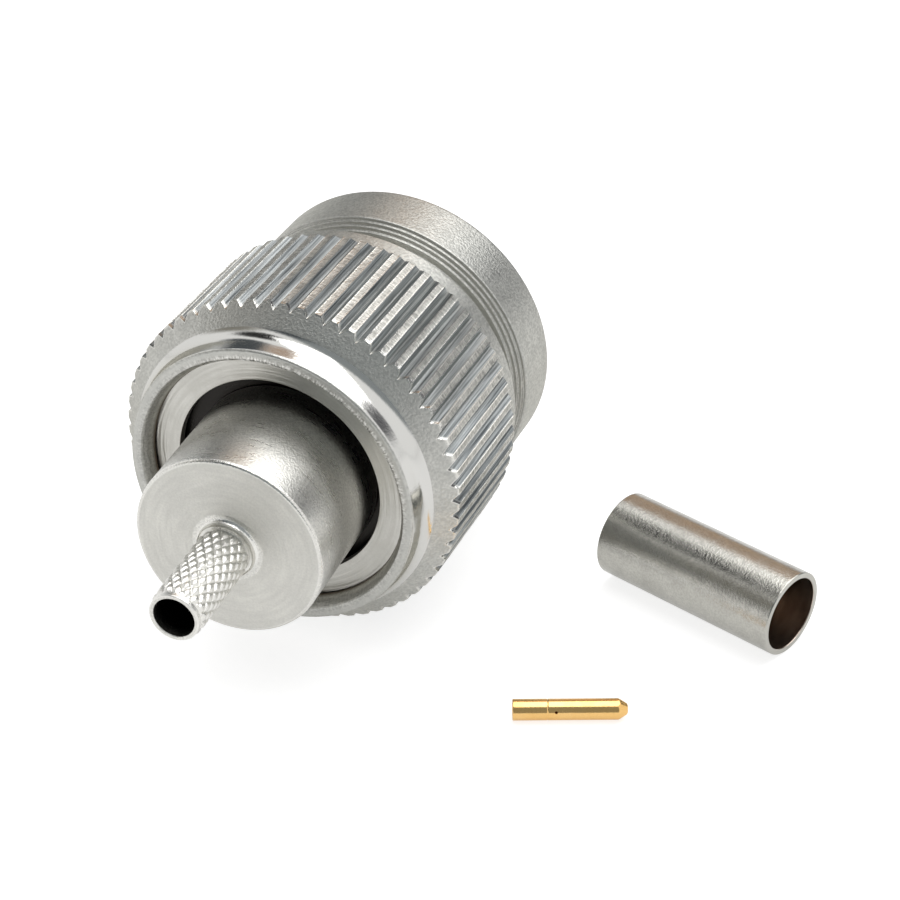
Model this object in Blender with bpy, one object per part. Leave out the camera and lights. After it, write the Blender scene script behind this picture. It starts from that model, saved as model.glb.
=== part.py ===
"""Threaded coaxial crimp plug, lying on its side, with its loose crimp ferrule and contact pin.

The coupling nut's axis is level and points to world +Y at its mating end. Stations along it are counted
from a plane just behind the knurl's crests, plus towards the mating end. The nut's largest diameter stands on z = 0,
and so do the ferrule and the pin, which lie to the right of the plug. The body is loose in its nut: it
has dropped a little and turned a few degrees on one side, as it comes to rest.
"""
import math

import bmesh
import bpy

MM = 0.001

# Fits
PRESS_GAP = 0.03 * MM            # between faces and walls that are pressed or seated together
INSULATOR_GAP = 0.05 * MM        # round the insulators
WASHER_PLAY = 0.05 * MM          # in front of and behind the washer in its recess
WASHER_CLEARANCE = 0.08 * MM     # round the washer's rim
REST_GAP = 0.03 * MM             # left where the body has come to rest in the nut
FLOAT_TRAVEL = 0.15 * MM         # the nut slides this far each way on the body
STOP_GAP = 0.05 * MM             # what is left open at each end of that travel

# How the body rests in the nut
BODY_DROP = 0.135 * MM
BODY_LEAN = math.radians(2.53)   # seen from above, the stem to the right

# Radii, stacked outwards from the bore of the outer contact
CONTACT_BORE = 3.35 * MM
CONTACT_WALL = 0.70 * MM
CONTACT_RADIUS = CONTACT_BORE + CONTACT_WALL
SOCKET_WALL_SPACE = 1.01 * MM    # room for the mating connector's threaded wall
THREAD_BORE = CONTACT_RADIUS + SOCKET_WALL_SPACE
SHOULDER_STEP = 0.34 * MM
CAVITY_RADIUS = THREAD_BORE + SHOULDER_STEP
WASHER_STEP = 0.30 * MM
LIP_BORE = CAVITY_RADIUS + WASHER_STEP
LIP_WALL = 0.57 * MM
LIP_RADIUS = LIP_BORE + LIP_WALL
REAR_LAND = 0.29 * MM            # narrow flat ring between the lip and the rear cone
CONE_LAND = 0.54 * MM            # plain part of the rear cone, up to the teeth
GROOVE_DEPTH = 0.24 * MM
GROOVE_RIM = 0.06 * MM           # left between the plain cone and the bottom of the grooves
NUT_RADIUS = LIP_RADIUS + REAR_LAND + CONE_LAND + GROOVE_RIM + GROOVE_DEPTH
NECK_WALL = 0.99 * MM
NECK_RADIUS = THREAD_BORE + NECK_WALL
COLLAR_STEP = 0.73 * MM
COLLAR_RADIUS = NECK_RADIUS + COLLAR_STEP

# Coupling nut, along the axis
LIP_LENGTH = 1.75 * MM
LIP_EDGE = 0.10 * MM             # rounding of the lip's rim
LIP_ROOT_FILLET = 0.08 * MM
WASHER_SEAT_DEPTH = 1.25 * MM    # from the lip's rim to the washer's seat
BEAD_HEIGHT = 0.22 * MM          # rolled-in bead that keeps the washer
REAR_CONE_SLOPE = 1.18           # rise of the rear cone for each unit forward
KNURL_REAR = 0.13 * MM           # rear end of the tooth crests
KNURL_LENGTH = 5.92 * MM         # along the tooth crests
RUNOUT_SLOPE = 0.53              # fall of the run-out cone for each unit forward
RUNOUT_DROP = 0.24 * MM          # fall of the cone below the groove bottoms
NECK_LENGTH = 1.99 * MM
COLLAR_LENGTH = 2.55 * MM
COLLAR_REAR_EDGE = 0.14 * MM
COLLAR_FRONT_EDGE = 0.20 * MM
THREAD_ENTRY = 0.60 * MM         # countersink at the mouth of the nut

TOOTH_COUNT = 63
CREST_SHARE = 0.40               # part of the pitch that is crest
TOOTH_TURN = 0.0                 # first tooth from straight up, towards +X

# Captured washer and flange
WASHER_THICKNESS = 0.40 * MM
BODY_SHOULDER = 0.42 * MM
WASHER_HOLE_CLEARANCE = 0.51 * MM
FLANGE_THICKNESS = 1.00 * MM

# Outer contact, along the axis
HUB_LENGTH = 2.95 * MM
SLEEVE_LENGTH = 6.70 * MM
CONTACT_EDGE = 0.12 * MM
INSULATOR_STEP = 0.15 * MM
CONTACT_REAR_BORE = CONTACT_BORE + INSULATOR_STEP
GASKET_THICKNESS = 1.00 * MM
GASKET_CLEARANCE = 0.10 * MM
GASKET_EDGE = 0.15 * MM

# Plug body
BODY_RADIUS = CONTACT_REAR_BORE + BODY_SHOULDER
DISC_BEHIND_LIP = 4.17 * MM      # rear disc behind the lip's rim
BODY_EDGE = 0.20 * MM
SPIGOT_LENGTH = 2.87 * MM
BODY_BORE = 2.55 * MM
BODY_FLOOR = 1.05 * MM           # thickness of the rear disc
STEM_BORE = 0.84 * MM
STEM_RIM_WALL = 0.18 * MM
STEM_RADIUS = STEM_BORE + STEM_RIM_WALL
STEM_LENGTH = 4.80 * MM
STEM_RIM_LENGTH = 0.29 * MM
STEM_BASE_LENGTH = 0.41 * MM     # fillet and undercut between the disc and the knurl
STEM_EDGE = 0.04 * MM
ROOT_FILLET = 0.20 * MM          # where the disc rises to the stem
ROOT_STEP = 0.04 * MM            # from the fillet's top down to the undercut, along the stem
DIAMOND_DIP = 0.02 * MM          # knurl's valleys below the stem's plain end
DIAMOND_HEIGHT = 0.09 * MM
DIAMOND_VALLEY = STEM_RADIUS - DIAMOND_DIP
DIAMOND_PEAK = DIAMOND_VALLEY + DIAMOND_HEIGHT
ROOT_RADIUS = DIAMOND_PEAK + DIAMOND_HEIGHT
DIAMOND_COUNT = 16               # round the stem
DIAMOND_PITCH = 0.343 * MM       # from one row to the next along the stem

# Insulators
FRONT_INSULATOR_LENGTH = 2.17 * MM
BOSS_LENGTH = 0.70 * MM
PIN_FIT = 0.02 * MM

# Contact pin
PIN_RADIUS = 0.43 * MM
PIN_LENGTH = 4.57 * MM
PIN_TIP_LENGTH = 0.36 * MM
PIN_TIP_RADIUS = 0.20 * MM
PIN_CRIMP_BORE = 0.27 * MM
PIN_CRIMP_DEPTH = 1.90 * MM
PIN_EDGE = 0.04 * MM
PIN_RING_AT = 1.36 * MM          # fine turned ring, from the crimp end
PIN_RING_DEPTH = 0.03 * MM
PIN_RING_WIDTH = 0.06 * MM
PIN_HOLE_AT = 1.72 * MM
PIN_HOLE_RADIUS = 0.10 * MM
PIN_HOLE_TURN = math.radians(69)  # from straight up, towards the pin's near side

# Crimp ferrule
BRAID_SPACE = 0.48 * MM          # room on the stem for the cable's braid
FERRULE_BORE = DIAMOND_PEAK + BRAID_SPACE
FERRULE_WALL = 0.255 * MM
FERRULE_RADIUS = FERRULE_BORE + FERRULE_WALL
FERRULE_LENGTH = 8.69 * MM
FERRULE_EDGE = 0.06 * MM

# Where the loose pieces lie, from the side of the nut and from its rear face
FERRULE_FROM_NUT = 12.39 * MM
FERRULE_AHEAD = 5.55 * MM
FERRULE_TURN = math.radians(71.35)
PIN_FROM_NUT = 3.57 * MM
PIN_BEHIND = 2.96 * MM
PIN_TURN = math.radians(-66.4)

# Sides of the round pieces
NUT_SIDES = TOOTH_COUNT
BODY_SIDES = 4 * DIAMOND_COUNT
STEM_SIDES = 2 * DIAMOND_COUNT
SLEEVE_SIDES = 48
PIN_SIDES = 24
TUBE_SIDES = 40

# Stations along the plug's axis
SEAT_AT = WASHER_SEAT_DEPTH - LIP_LENGTH
WASHER_FRONT = SEAT_AT - WASHER_PLAY
WASHER_REAR = WASHER_FRONT - WASHER_THICKNESS
BEAD_FRONT = WASHER_REAR - WASHER_PLAY
FLANGE_RADIUS = CAVITY_RADIUS - BODY_DROP - REST_GAP
FLANGE_SWING = FLANGE_RADIUS * math.sin(BODY_LEAN)
FLANGE_REAR = WASHER_FRONT + FLANGE_SWING + FLOAT_TRAVEL + STOP_GAP
FLANGE_FRONT = FLANGE_REAR + FLANGE_THICKNESS
NUT_SHOULDER = FLANGE_FRONT + FLANGE_SWING + FLOAT_TRAVEL + STOP_GAP
HUB_FRONT = FLANGE_FRONT + HUB_LENGTH
HUB_RADIUS = THREAD_BORE - math.hypot(BODY_DROP, HUB_FRONT * math.sin(BODY_LEAN)) - REST_GAP
CONTACT_FRONT = HUB_FRONT + SLEEVE_LENGTH
KNURL_FRONT = KNURL_REAR + KNURL_LENGTH
NECK_REAR = KNURL_FRONT + (GROOVE_DEPTH + RUNOUT_DROP) / RUNOUT_SLOPE
NECK_FRONT = NECK_REAR + NECK_LENGTH
NUT_FRONT = NECK_FRONT + COLLAR_LENGTH
SHELL_FRONT = FLANGE_REAR - PRESS_GAP
SPIGOT_FRONT = SHELL_FRONT + SPIGOT_LENGTH
INSULATOR_REAR = SPIGOT_FRONT + PRESS_GAP
CONTACT_STEP_AT = INSULATOR_REAR + FRONT_INSULATOR_LENGTH + PRESS_GAP
DISC_AT = -LIP_LENGTH - DISC_BEHIND_LIP
STEM_END = DISC_AT - STEM_LENGTH


def circle(mesh, along, radius, sides, turn=0.0):
    """Ring of vertices round local Z at one height."""
    step = 2.0 * math.pi / sides
    angles = [turn + step * index for index in range(sides)]
    return [mesh.verts.new((radius * math.cos(a), radius * math.sin(a), along)) for a in angles]


def join(mesh, first, second):
    """Wall between two rings. The finer ring may have a whole number of vertices for each coarse one."""
    fine, coarse = (first, second) if len(first) >= len(second) else (second, first)
    share = len(fine) // len(coarse)
    for index, corner in enumerate(coarse):
        following = coarse[(index + 1) % len(coarse)]
        run = [fine[(index * share + k) % len(fine)] for k in range(share + 1)]
        middle = share // 2
        for k in range(middle):
            mesh.faces.new((corner, run[k], run[k + 1]))
        mesh.faces.new((corner, run[middle], run[middle + 1], following))
        for k in range(middle + 1, share):
            mesh.faces.new((following, run[k], run[k + 1]))


def join_loop(mesh, rings):
    """Closed wall through all the rings and back to the first."""
    for index, ring in enumerate(rings):
        join(mesh, ring, rings[(index + 1) % len(rings)])


def metal(name, colour, roughness, metallic):
    """Plain surface finish of one piece."""
    material = bpy.data.materials.new(name)
    material.use_nodes = True
    surface = material.node_tree.nodes["Principled BSDF"]
    surface.inputs["Base Color"].default_value = (*colour, 1.0)
    surface.inputs["Roughness"].default_value = roughness
    surface.inputs["Metallic"].default_value = metallic
    return material


def finish(name, mesh, material, parent):
    """Close the mesh, shade it and hang it on its axis."""
    bmesh.ops.recalc_face_normals(mesh, faces=mesh.faces)
    data = bpy.data.meshes.new(name)
    mesh.to_mesh(data)
    mesh.free()
    data.shade_smooth()
    data.set_sharp_from_angle(angle=math.radians(28))
    data.materials.append(material)
    piece = bpy.data.objects.new(name, data)
    bpy.context.collection.objects.link(piece)
    piece.parent = parent
    return piece


def turned(name, profile, sides, material, parent):
    """Ring-shaped piece turned from a closed profile of (along, radius) points."""
    mesh = bmesh.new()
    join_loop(mesh, [circle(mesh, along, radius, sides) for along, radius in profile])
    return finish(name, mesh, material, parent)


def axis_empty(name, x, y, z, turn):
    """Empty whose local Z is a piece's level axis; without a turn it points to +Y."""
    empty = bpy.data.objects.new(name, None)
    empty.location = (x, y, z)
    empty.rotation_euler = (math.radians(-90), 0.0, turn)
    bpy.context.collection.objects.link(empty)
    return empty


def tooth_ring(mesh, crest, valley):
    """Ring of the knurl: for each tooth a groove bottom and the two edges of the crest.

    Each of the two is an (along, radius) point. Local Z lies along the plug, so straight up is local -Y.
    """
    pitch = 2.0 * math.pi / TOOTH_COUNT
    first = TOOTH_TURN - math.pi / 2
    ring = []
    for tooth in range(TOOTH_COUNT):
        centre = first + tooth * pitch
        for offset, (along, radius) in (
            (-0.5 * pitch, valley),
            (-0.5 * CREST_SHARE * pitch, crest),
            (0.5 * CREST_SHARE * pitch, crest),
        ):
            angle = centre + offset
            ring.append(mesh.verts.new((radius * math.cos(angle), radius * math.sin(angle), along)))
    return ring


def coupling_nut(material, axis):
    """Nut with straight teeth, whose grooves run out on the rear cone and on a slimmer cone in front."""
    mesh = bmesh.new()
    turn = TOOTH_TURN - math.pi / 2 - math.pi / TOOTH_COUNT
    valley = NUT_RADIUS - GROOVE_DEPTH
    face_edge = valley - GROOVE_RIM
    cone_end = valley - RUNOUT_DROP

    def on_rear_cone(radius):
        return (KNURL_REAR - (NUT_RADIUS - radius) / REAR_CONE_SLOPE, radius)

    def plain(along, radius):
        return circle(mesh, along, radius, NUT_SIDES, turn)

    land_at = on_rear_cone(LIP_RADIUS + REAR_LAND)[0]
    rings = [
        plain(-LIP_LENGTH + LIP_EDGE, LIP_RADIUS),
        plain(land_at - LIP_ROOT_FILLET, LIP_RADIUS),
        plain(land_at, LIP_RADIUS + LIP_ROOT_FILLET),
        plain(land_at, LIP_RADIUS + REAR_LAND),
        tooth_ring(mesh, on_rear_cone(face_edge), on_rear_cone(face_edge)),
        tooth_ring(mesh, on_rear_cone(NUT_RADIUS), on_rear_cone(valley)),
        tooth_ring(mesh, (KNURL_FRONT, NUT_RADIUS), (KNURL_FRONT + GROOVE_DEPTH / RUNOUT_SLOPE, valley)),
        tooth_ring(mesh, (NECK_REAR, cone_end), (NECK_REAR, cone_end)),
        plain(NECK_REAR, NECK_RADIUS),
        plain(NECK_FRONT, NECK_RADIUS),
        plain(NECK_FRONT, COLLAR_RADIUS - COLLAR_REAR_EDGE),
        plain(NECK_FRONT + COLLAR_REAR_EDGE, COLLAR_RADIUS),
        plain(NUT_FRONT - COLLAR_FRONT_EDGE, COLLAR_RADIUS),
        plain(NUT_FRONT, COLLAR_RADIUS - COLLAR_FRONT_EDGE),
        plain(NUT_FRONT, THREAD_BORE + THREAD_ENTRY),
        plain(NUT_FRONT - THREAD_ENTRY, THREAD_BORE),
        plain(NUT_SHOULDER, THREAD_BORE),
        plain(NUT_SHOULDER, CAVITY_RADIUS),
        plain(SEAT_AT, CAVITY_RADIUS),
        plain(SEAT_AT, LIP_BORE),
        plain(BEAD_FRONT, LIP_BORE),
        plain(BEAD_FRONT, LIP_BORE - BEAD_HEIGHT),
        plain(-LIP_LENGTH + LIP_EDGE, LIP_BORE + LIP_EDGE),
        plain(-LIP_LENGTH, LIP_BORE + 2 * LIP_EDGE),
        plain(-LIP_LENGTH, LIP_RADIUS - LIP_EDGE),
    ]
    join_loop(mesh, rings)
    return finish("coupling_nut", mesh, material, axis)


def back_washer(material, axis):
    """Flat washer held loosely in the nut's recess."""
    outer = LIP_BORE - WASHER_CLEARANCE
    inner = BODY_RADIUS + WASHER_HOLE_CLEARANCE
    profile = [(WASHER_REAR, outer), (WASHER_FRONT, outer), (WASHER_FRONT, inner), (WASHER_REAR, inner)]
    return turned("back_washer", profile, NUT_SIDES, material, axis)


def outer_contact(material, axis):
    """Front sleeve, hub and captured flange in one; its bore is wider behind the insulator's step."""
    profile = [
        (FLANGE_REAR, FLANGE_RADIUS),
        (FLANGE_FRONT, FLANGE_RADIUS),
        (FLANGE_FRONT, HUB_RADIUS),
        (HUB_FRONT, HUB_RADIUS),
        (HUB_FRONT, CONTACT_RADIUS),
        (CONTACT_FRONT - CONTACT_EDGE, CONTACT_RADIUS),
        (CONTACT_FRONT, CONTACT_RADIUS - CONTACT_EDGE),
        (CONTACT_FRONT, CONTACT_BORE + CONTACT_EDGE),
        (CONTACT_FRONT - CONTACT_EDGE, CONTACT_BORE),
        (CONTACT_STEP_AT, CONTACT_BORE),
        (CONTACT_STEP_AT, CONTACT_REAR_BORE),
        (FLANGE_REAR, CONTACT_REAR_BORE),
    ]
    return turned("outer_contact", profile, SLEEVE_SIDES, material, axis)


def gasket(material, axis):
    """Sealing ring on the hub's front face, round the sleeve."""
    inner = CONTACT_RADIUS + GASKET_CLEARANCE
    outer = HUB_RADIUS - GASKET_CLEARANCE
    rear = HUB_FRONT + PRESS_GAP
    front = rear + GASKET_THICKNESS
    profile = [
        (rear, outer),
        (front - GASKET_EDGE, outer),
        (front, outer - GASKET_EDGE),
        (front, inner),
        (rear, inner),
    ]
    return turned("gasket", profile, SLEEVE_SIDES, material, axis)


def diamond_ring(mesh, along, row):
    """Ring of the stem's knurl: peaks and valleys take turns, and every other row is shifted."""
    step = 2.0 * math.pi / STEM_SIDES
    ring = []
    for index in range(STEM_SIDES):
        radius = DIAMOND_PEAK if (index + row) % 2 == 0 else DIAMOND_VALLEY
        ring.append(mesh.verts.new((radius * math.cos(index * step), radius * math.sin(index * step), along)))
    return ring


def join_diamonds(mesh, lower, upper, row):
    """Wall between two knurl rows, split along the valleys so that the grooves cross."""
    for index in range(STEM_SIDES):
        after = (index + 1) % STEM_SIDES
        if (index + row) % 2 == 0:
            mesh.faces.new((lower[index], lower[after], upper[index]))
            mesh.faces.new((lower[after], upper[after], upper[index]))
        else:
            mesh.faces.new((lower[index], lower[after], upper[after]))
            mesh.faces.new((lower[index], upper[after], upper[index]))


def plug_body(material, axis):
    """Rear shell: spigot, smooth cylinder, rear disc, and the knurled crimp stem on its filleted root."""
    mesh = bmesh.new()
    spigot = CONTACT_REAR_BORE - PRESS_GAP
    root_end = DISC_AT - ROOT_FILLET
    knurl_start = DISC_AT - STEM_BASE_LENGTH
    knurl_end = STEM_END + STEM_RIM_LENGTH
    rows = max(2, round((knurl_start - knurl_end) / DIAMOND_PITCH))

    def wide(along, radius):
        return circle(mesh, along, radius, BODY_SIDES)

    def slim(along, radius):
        return circle(mesh, along, radius, STEM_SIDES)

    rings = [
        wide(SPIGOT_FRONT, spigot),
        wide(SHELL_FRONT, spigot),
        wide(SHELL_FRONT, BODY_RADIUS),
        wide(DISC_AT + BODY_EDGE, BODY_RADIUS),
        wide(DISC_AT, BODY_RADIUS - BODY_EDGE),
        slim(DISC_AT, ROOT_RADIUS + ROOT_FILLET),
        slim(DISC_AT - 0.3 * ROOT_FILLET, ROOT_RADIUS + 0.3 * ROOT_FILLET),
        slim(root_end, ROOT_RADIUS),
        slim(root_end - ROOT_STEP, DIAMOND_VALLEY),
        slim(knurl_start, DIAMOND_VALLEY),
    ]
    for upper, lower in zip(rings, rings[1:]):
        join(mesh, upper, lower)
    spacing = (knurl_start - knurl_end) / rows
    band = [diamond_ring(mesh, knurl_start - spacing * (row + 0.5), row) for row in range(rows)]
    join(mesh, rings[-1], band[0])
    for row in range(rows - 1):
        join_diamonds(mesh, band[row], band[row + 1], row)
    tail = [
        slim(knurl_end, STEM_RADIUS),
        slim(STEM_END + STEM_EDGE, STEM_RADIUS),
        slim(STEM_END, STEM_RADIUS - STEM_EDGE),
        slim(STEM_END, STEM_BORE + STEM_EDGE),
        slim(STEM_END + STEM_EDGE, STEM_BORE),
        slim(DISC_AT + BODY_FLOOR, STEM_BORE),
        wide(DISC_AT + BODY_FLOOR, BODY_BORE),
        wide(SPIGOT_FRONT, BODY_BORE),
    ]
    join(mesh, band[-1], tail[0])
    for upper, lower in zip(tail, tail[1:]):
        join(mesh, upper, lower)
    join(mesh, tail[-1], rings[0])
    bmesh.ops.triangulate(mesh, faces=[face for face in mesh.faces if warped(face)])
    return finish("plug_body", mesh, material, axis)


def warped(face):
    """True where a face's corners don't lie in one plane."""
    centre = face.calc_center_median()
    return any(abs((vert.co - centre).dot(face.normal)) > 1e-8 for vert in face.verts)


def front_insulator(material, axis):
    """Stepped disc that holds the pin; its boss stands in the outer contact's narrower bore."""
    wide = CONTACT_REAR_BORE - INSULATOR_GAP
    boss = CONTACT_BORE - INSULATOR_GAP
    hole = PIN_RADIUS + PIN_FIT
    step = INSULATOR_REAR + FRONT_INSULATOR_LENGTH
    profile = [
        (INSULATOR_REAR, wide),
        (step, wide),
        (step, boss),
        (step + BOSS_LENGTH, boss),
        (step + BOSS_LENGTH, hole),
        (INSULATOR_REAR, hole),
    ]
    return turned("front_insulator", profile, SLEEVE_SIDES, material, axis)


def rear_insulator(material, axis):
    """Tube in the plug body, between the rear disc and the front insulator."""
    rear = DISC_AT + BODY_FLOOR + PRESS_GAP
    radius = BODY_BORE - INSULATOR_GAP
    profile = [(rear, radius), (SPIGOT_FRONT, radius), (SPIGOT_FRONT, STEM_BORE), (rear, STEM_BORE)]
    return turned("rear_insulator", profile, STEM_SIDES, material, axis)


def contact_pin(material, axis):
    """Turned pin with a conical tip, a fine ring, a crimp bore and an inspection hole into it."""
    mesh = bmesh.new()
    ring_floor = PIN_RADIUS - PIN_RING_DEPTH
    profile = [
        (PIN_CRIMP_DEPTH, PIN_CRIMP_BORE),
        (PIN_EDGE, PIN_CRIMP_BORE),
        (0.0, PIN_CRIMP_BORE + PIN_EDGE),
        (0.0, PIN_RADIUS - PIN_EDGE),
        (PIN_EDGE, PIN_RADIUS),
        (PIN_RING_AT, PIN_RADIUS),
        (PIN_RING_AT + 0.5 * PIN_RING_WIDTH, ring_floor),
        (PIN_RING_AT + PIN_RING_WIDTH, PIN_RADIUS),
        (PIN_LENGTH - PIN_TIP_LENGTH, PIN_RADIUS),
        (PIN_LENGTH, PIN_TIP_RADIUS),
    ]
    rings = [circle(mesh, along, radius, PIN_SIDES) for along, radius in profile]
    for first, second in zip(rings, rings[1:]):
        join(mesh, first, second)
    mesh.faces.new(rings[0])
    mesh.faces.new(rings[-1])
    piece = finish("contact_pin", mesh, material, axis)
    piece.modifiers.new("inspection_hole", "BOOLEAN").object = hole_cutter(axis)
    return piece


def hole_cutter(axis):
    """Guide for the pin's inspection hole: a short rod from the bore out through one wall."""
    mesh = bmesh.new()
    depth = 2.0 * PIN_RADIUS
    bottom = circle(mesh, 0.0, PIN_HOLE_RADIUS, 12)
    top = circle(mesh, depth, PIN_HOLE_RADIUS, 12)
    join(mesh, bottom, top)
    mesh.faces.new(bottom)
    mesh.faces.new(top)
    bmesh.ops.recalc_face_normals(mesh, faces=mesh.faces)
    data = bpy.data.meshes.new("hole_cutter")
    mesh.to_mesh(data)
    mesh.free()
    cutter = bpy.data.objects.new("hole_cutter", data)
    bpy.context.collection.objects.link(cutter)
    cutter.parent = axis
    cutter.location = (0.0, 0.0, PIN_HOLE_AT)
    cutter.rotation_euler = (math.radians(90), 0.0, PIN_HOLE_TURN)
    cutter.hide_render = True
    cutter.display_type = "WIRE"
    return cutter


def crimp_ferrule(material, axis):
    """Thin tube with broken edges."""
    profile = [
        (0.0, FERRULE_RADIUS - FERRULE_EDGE),
        (FERRULE_EDGE, FERRULE_RADIUS),
        (FERRULE_LENGTH - FERRULE_EDGE, FERRULE_RADIUS),
        (FERRULE_LENGTH, FERRULE_RADIUS - FERRULE_EDGE),
        (FERRULE_LENGTH, FERRULE_BORE + FERRULE_EDGE),
        (FERRULE_LENGTH - FERRULE_EDGE, FERRULE_BORE),
        (FERRULE_EDGE, FERRULE_BORE),
        (0.0, FERRULE_BORE + FERRULE_EDGE),
    ]
    return turned("crimp_ferrule", profile, TUBE_SIDES, material, axis)


def build():
    """Lay the set out round its middle: the plug on the left, the ferrule and the pin to its right."""
    for old in list(bpy.data.objects):
        bpy.data.objects.remove(old, do_unlink=True)

    ferrule_reach = NUT_RADIUS + FERRULE_FROM_NUT + FERRULE_RADIUS * abs(math.cos(FERRULE_TURN))
    plug_x = 0.5 * (NUT_RADIUS - ferrule_reach)
    stem_reach = STEM_RADIUS * math.sin(BODY_LEAN) - STEM_END * math.cos(BODY_LEAN)
    plug_y = 0.5 * (stem_reach - NUT_FRONT)
    nut_side = plug_x + NUT_RADIUS
    nut_axis = axis_empty("nut_axis", plug_x, plug_y, NUT_RADIUS, 0.0)
    body_axis = axis_empty("body_axis", plug_x, plug_y, NUT_RADIUS - BODY_DROP, BODY_LEAN)
    ferrule_axis = axis_empty(
        "ferrule_axis", nut_side + FERRULE_FROM_NUT, plug_y + FERRULE_AHEAD, FERRULE_RADIUS, FERRULE_TURN
    )
    pin_axis = axis_empty("pin_axis", nut_side + PIN_FROM_NUT, plug_y - PIN_BEHIND, PIN_RADIUS, PIN_TURN)

    coupling_nut(metal("nut_nickel", (0.60, 0.60, 0.57), 0.30, 1.0), nut_axis)
    back_washer(metal("washer_nickel", (0.62, 0.62, 0.59), 0.35, 1.0), nut_axis)
    plug_body(metal("body_nickel", (0.56, 0.55, 0.52), 0.32, 1.0), body_axis)
    outer_contact(metal("contact_nickel", (0.60, 0.60, 0.57), 0.30, 1.0), body_axis)
    gasket(metal("silicone", (0.45, 0.08, 0.05), 0.60, 0.0), body_axis)
    ptfe = metal("ptfe", (0.85, 0.85, 0.83), 0.50, 0.0)
    front_insulator(ptfe, body_axis)
    rear_insulator(ptfe, body_axis)
    contact_pin(metal("gold", (0.90, 0.66, 0.28), 0.22, 1.0), pin_axis)
    crimp_ferrule(metal("ferrule_nickel", (0.52, 0.49, 0.45), 0.28, 1.0), ferrule_axis)


build()
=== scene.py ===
"""Threaded coaxial crimp plug with its loose ferrule and contact pin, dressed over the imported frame."""
import math

import bpy
import numpy as np
from mathutils import Matrix, Vector


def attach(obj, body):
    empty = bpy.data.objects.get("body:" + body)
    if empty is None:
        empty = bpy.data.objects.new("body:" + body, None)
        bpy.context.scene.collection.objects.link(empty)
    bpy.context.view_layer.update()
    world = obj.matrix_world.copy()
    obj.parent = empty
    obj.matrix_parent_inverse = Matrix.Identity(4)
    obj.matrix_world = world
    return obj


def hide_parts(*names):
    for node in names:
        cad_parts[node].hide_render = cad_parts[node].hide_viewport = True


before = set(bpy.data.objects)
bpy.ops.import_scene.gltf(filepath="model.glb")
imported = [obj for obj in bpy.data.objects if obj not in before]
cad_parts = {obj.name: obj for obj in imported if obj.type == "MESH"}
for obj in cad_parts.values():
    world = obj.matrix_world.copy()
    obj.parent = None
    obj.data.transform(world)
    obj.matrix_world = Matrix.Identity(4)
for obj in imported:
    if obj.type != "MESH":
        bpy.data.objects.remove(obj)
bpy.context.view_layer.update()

# Outer contact. Turned brass, nickel plated: the flange that the nut's washer holds, a hub, and the
# thin front sleeve that enters the mating connector. It is pressed on to the body's spigot.
MM = 0.001
PLUG_X, PLUG_Y = -6.4867, -0.3729      # station 0, just behind the rear ends of the nut's knurl
BODY_HEIGHT = 7.265                    # the body has dropped a little in its nut
BODY_LEAN = math.radians(2.53)


def level_axis(x, y, z, turn):
    """A level axis: a point on it in metres, its direction (-sin turn, cos turn), straight up, the side."""
    along = np.array([-math.sin(turn), math.cos(turn), 0.0])
    up = np.array([0.0, 0.0, 1.0])
    at = np.array([x, y, z]) * MM
    return {"at": at, "along": along, "up": up, "side": np.cross(along, up), "turn": turn}


def around(axis, station, radius, angle):
    """Points at a station and radius in mm: at + station * along + radius * (cos * up + sin * side)."""
    station, radius, angle = np.broadcast_arrays(station, radius, angle)
    ring = np.cos(angle)[..., None] * axis["up"] + np.sin(angle)[..., None] * axis["side"]
    return axis["at"] + MM * (station[..., None] * axis["along"] + radius[..., None] * ring)


def eased(corners, steps=5):
    """Outline through (station, radius, cut) corners, each eased by its cut.

    From a, the cut before the corner, to b, the cut after it, the outline follows the curve
    (1-u)^2 a + 2u(1-u) corner + u^2 b. A further row at 1.5 cuts each way keeps the flats flat.
    """
    table = np.asarray(corners, float)
    corner, cut = table[:, :2], table[:, 2:]
    back = np.roll(corner, 1, 0) - corner
    ahead = np.roll(corner, -1, 0) - corner
    back /= np.linalg.norm(back, axis=1, keepdims=True)
    ahead /= np.linalg.norm(ahead, axis=1, keepdims=True)
    u = np.linspace(0.0, 1.0, steps + 1)[None, :, None]
    a, b = corner + cut * back, corner + cut * ahead
    bridge = (1 - u) ** 2 * a[:, None] + 2 * u * (1 - u) * corner[:, None] + u**2 * b[:, None]
    before, after = corner + 1.5 * cut * back, corner + 1.5 * cut * ahead
    rows = np.concatenate([before[:, None], bridge, after[:, None]], 1).reshape(-1, 2)
    return rows[np.linalg.norm(rows - np.roll(rows, 1, 0), axis=1) > 1e-6]


def grid_faces(rows, columns, closed=True, first=0):
    """Corner numbers of the faces between neighbouring rows, closed round, and from last row to first."""
    i = np.arange(rows if closed else rows - 1)[:, None]
    j = np.arange(columns)[None, :]
    k, n = (j + 1) % columns, (i + 1) % rows
    corners = [i * columns + j, i * columns + k, n * columns + k, n * columns + j]
    return first + np.stack(corners, -1).reshape(-1, 4)


def piece(name, points, faces, material, body, slot, *nodes, marks=None, sharp=35.0):
    """One finished piece: its mesh in place, shaded, with its marks, material, body and CAD nodes.

    A mark is a value kept on each point, which the material reads. The slot is not used.
    """
    mesh = bpy.data.meshes.new(name)
    mesh.from_pydata(points.reshape(-1, 3), [], faces)
    for mark, values in (marks or {}).items():
        mesh.attributes.new(mark, "FLOAT", "POINT").data.foreach_set("value", values.ravel().astype(float))
    mesh.shade_smooth()
    mesh.set_sharp_from_angle(angle=math.radians(sharp))
    mesh.materials.append(material)
    made = bpy.data.objects.new(name, mesh)
    bpy.context.scene.collection.objects.link(made)
    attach(made, body)
    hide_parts(*nodes)
    return made


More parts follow.
